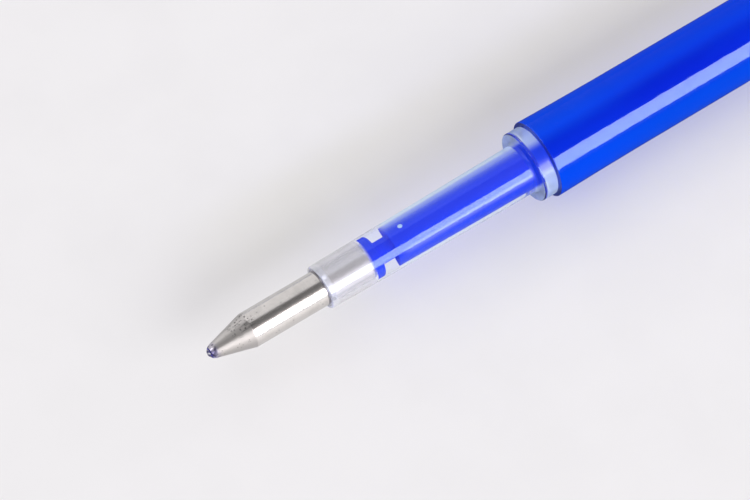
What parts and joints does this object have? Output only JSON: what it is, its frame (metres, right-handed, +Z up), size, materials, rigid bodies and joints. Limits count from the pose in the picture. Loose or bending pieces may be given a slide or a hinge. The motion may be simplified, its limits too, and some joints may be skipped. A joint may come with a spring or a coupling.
{
  "type": "gel pen refill",
  "caption": "Slim gel-ink pen refill: ball point in a metal tip, clear flanged tip holder, wide blue ink tube with a sliding follower and a vented tail plug.",
  "frame": {"origin": "Middle of the refill's length, on the surface that it lies on, below its axis.", "axes": "+X along the refill's axis from the writing ball to the tail plug; +Z up from the surface that it lies on; +Y across."},
  "size_m": [0.111, 0.0052, 0.0052],
  "materials": {
    "carbide": "polished carbide with a film of ink",
    "tip_metal": "turned nickel silver, fine tool marks and small pits",
    "spring_steel": "drawn stainless wire",
    "clear_plastic": "clear moulded plastic",
    "tube_plastic": "clear extruded plastic",
    "blue_ink": "opaque blue gel ink",
    "grease": "clear follower grease",
    "milky_plastic": "moulded natural plastic, slightly see-through"
  },
  "bodies": {
    "refill": {"tip_body": "tip_metal", "ball_spring": "spring_steel", "tip_holder": "clear_plastic", "neck_ink": "blue_ink", "reservoir_tube": "tube_plastic", "ink_column": "blue_ink", "tail_plug": "milky_plastic"},
    "ball": {"writing_ball": "carbide"},
    "follower": {"follower_grease": "grease", "follower_float": "milky_plastic"}
  },
  "joints": [
    {"name": "ball_roll", "type": "hinge", "parent": "refill", "child": "ball", "pos_m": [-0.05515, 0, 0.0026], "axis": [0, 1, 0], "continuous": true},
    {"name": "follower_slide", "type": "slide", "parent": "refill", "child": "follower", "axis": [-1, 0, 0], "range_m": [0, 0.0595], "deforming": ["ink_column"]}
  ]
}
